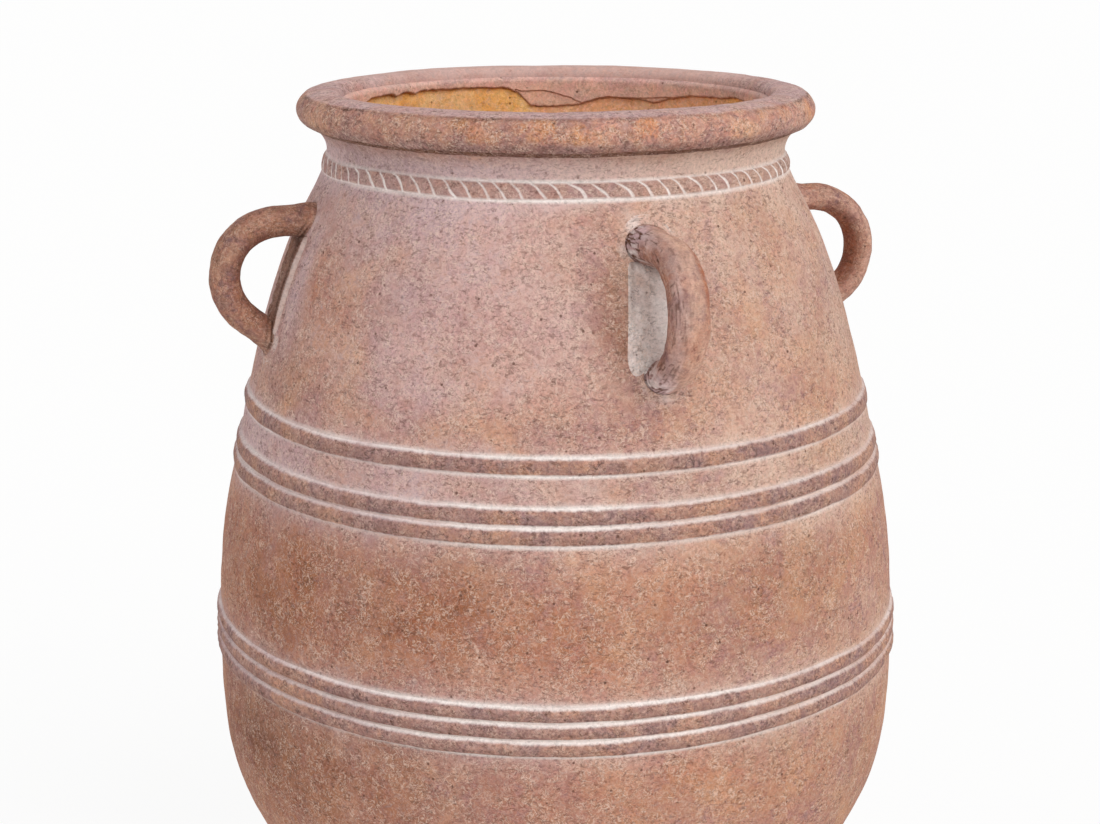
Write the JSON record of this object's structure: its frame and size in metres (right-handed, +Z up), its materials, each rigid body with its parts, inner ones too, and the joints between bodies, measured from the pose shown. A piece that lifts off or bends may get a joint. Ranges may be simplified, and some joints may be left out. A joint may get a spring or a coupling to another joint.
{
  "type": "storage jar",
  "caption": "Large ovoid terracotta storage jar with a rolled rim, rope band, round ribs and loop handles, standing on a small flat foot.",
  "frame": {"origin": "centre of the flat foot, on the ground", "axes": "+Z up along the jar's axis; the handles point along +X, +Y, -X and -Y"},
  "size_m": [0.7032, 0.7032, 1],
  "materials": {
    "body_clay": "matte sandy terracotta with a worn lime wash",
    "neck_clay": "matte terracotta under a pale lime wash",
    "rim_clay": "matte terracotta with ochre patches",
    "rib_clay": "rough matte terracotta, lime in the creases",
    "handle_clay": "matte terracotta, smoothed by hand",
    "lining_clay": "matte smoothed slip"
  },
  "bodies": {
    "root": {"base_disc": "body_clay", "foot_ring": "body_clay", "lower_body_ring": "body_clay", "belly_ring": "body_clay", "shoulder_ring": "body_clay", "neck_ring": "neck_clay", "rim": "rim_clay", "mouth_lining": "lining_clay", "rope_band": "rib_clay", "shoulder_rib": "rib_clay", "upper_rib_1": "rib_clay", "upper_rib_2": "rib_clay", "lower_rib_1": "rib_clay", "lower_rib_2": "rib_clay", "lower_rib_3": "rib_clay", "handle_right": "handle_clay", "handle_strip_right": "neck_clay", "handle_back": "handle_clay", "handle_strip_back": "neck_clay", "handle_left": "handle_clay", "handle_strip_left": "neck_clay", "handle_front": "handle_clay", "handle_strip_front": "neck_clay"}
  },
  "joints": []
}
